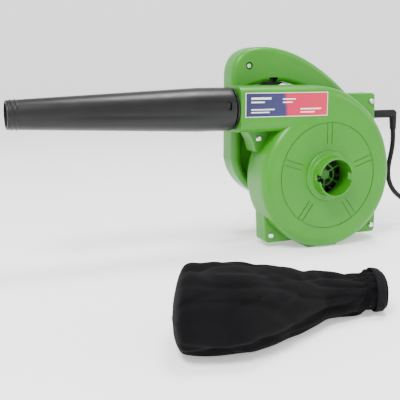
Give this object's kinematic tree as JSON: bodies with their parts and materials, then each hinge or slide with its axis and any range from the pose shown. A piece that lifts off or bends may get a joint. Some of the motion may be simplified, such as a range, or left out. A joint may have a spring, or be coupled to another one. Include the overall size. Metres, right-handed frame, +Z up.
{
  "type": "leaf blower",
  "caption": "Corded hand-held blower with scroll fan casing, tapered nozzle, closed handle over the motor, mains cord and a cloth dust bag beside it.",
  "frame": {"origin": "on the floor under the fan axis, in the middle of the flat that the fan casing stands on", "axes": "+Z up, +Y from the fan casing back to the motor along the fan axis, -X along the nozzle towards its tip"},
  "size_m": [0.6861, 0.4105, 0.2395],
  "materials": {
    "green_plastic": "semi-gloss moulded shell",
    "black_plastic": "satin black moulding",
    "rubber": "dull black rubber",
    "zinc_steel": "bright zinc plate",
    "bare_steel": "bare machined steel",
    "copper_winding": "varnished copper",
    "brass": "bright brass",
    "carbon": "dull grey-black carbon",
    "white_plastic": "natural white moulding",
    "label_film": "printed film, dark blue to red, no lettering",
    "black_cloth": "woven black cloth"
  },
  "bodies": {
    "housing": {"volute_cover": "green_plastic", "volute_back": "green_plastic", "intake_guard": "green_plastic", "handle_shell_front": "green_plastic", "handle_shell_back": "green_plastic", "motor_cap": "green_plastic", "outlet_spigot": "black_plastic", "switch_body": "black_plastic", "inner_lead": "black_plastic", "cord_clamp": "black_plastic", "cord_boot": "rubber", "power_cord": "rubber", "cord_coil": "rubber", "cord_tail": "rubber", "plug_body": "rubber", "casing_screw_1": "zinc_steel", "casing_screw_2": "zinc_steel", "casing_screw_3": "zinc_steel", "casing_screw_4": "zinc_steel", "handle_screw_1": "zinc_steel", "handle_screw_2": "zinc_steel", "handle_screw_3": "zinc_steel", "clamp_screw_1": "zinc_steel", "clamp_screw_2": "zinc_steel", "front_bearing": "bare_steel", "rear_bearing": "bare_steel", "stator_core": "bare_steel", "brush_spring_left": "bare_steel", "brush_spring_right": "bare_steel", "trigger_pin": "bare_steel", "trigger_spring": "bare_steel", "field_coil_left": "copper_winding", "field_coil_right": "copper_winding", "brush_holder_left": "brass", "brush_holder_right": "brass", "plug_pin_1": "brass", "plug_pin_2": "brass", "rating_label": "label_film"},
    "rotor": {"motor_shaft": "bare_steel", "impeller": "white_plastic", "impeller_nut": "zinc_steel", "impeller_washer": "zinc_steel", "cooling_fan": "black_plastic", "armature_core": "bare_steel", "armature_winding_front": "copper_winding", "armature_winding_back": "copper_winding", "commutator": "copper_winding"},
    "nozzle": {"nozzle": "black_plastic"},
    "trigger": {"trigger": "black_plastic"},
    "lock_button": {"lock_button": "black_plastic"},
    "brush_left": {"brush_left": "carbon"},
    "brush_right": {"brush_right": "carbon"},
    "dust_bag": {"dust_bag": "black_cloth", "bag_hem": "black_cloth"}
  },
  "joints": [
    {"name": "rotor_spin", "type": "hinge", "parent": "housing", "child": "rotor", "pos_m": [0, 0.05, 0.0885], "axis": [0, 1, 0], "continuous": true},
    {"name": "nozzle_pull", "type": "slide", "parent": "housing", "child": "nozzle", "axis": [-1, 0, 0], "range_m": [0, 0.045]},
    {"name": "trigger_pull", "type": "hinge", "parent": "housing", "child": "trigger", "pos_m": [-0.024, 0.0545, 0.2015], "axis": [0, 1, 0], "range_deg": [0, 8], "stiffness_Nm_per_rad": 0.5, "deforming": ["trigger_spring"]},
    {"name": "lock_button_press", "type": "slide", "parent": "housing", "child": "lock_button", "axis": [0, -1, 0], "range_m": [0, 0.003], "stiffness_N_per_m": 400},
    {"name": "brush_left_slide", "type": "slide", "parent": "housing", "child": "brush_left", "axis": [-1, 0, 0], "range_m": [0, 0.004], "stiffness_N_per_m": 100},
    {"name": "brush_right_slide", "type": "slide", "parent": "housing", "child": "brush_right", "axis": [1, 0, 0], "range_m": [0, 0.004], "stiffness_N_per_m": 100},
    {"name": "dust_bag_slide", "type": "slide", "parent": "housing", "child": "dust_bag", "axis": [0, -1, 0], "range_m": [0, 0.15]}
  ]
}
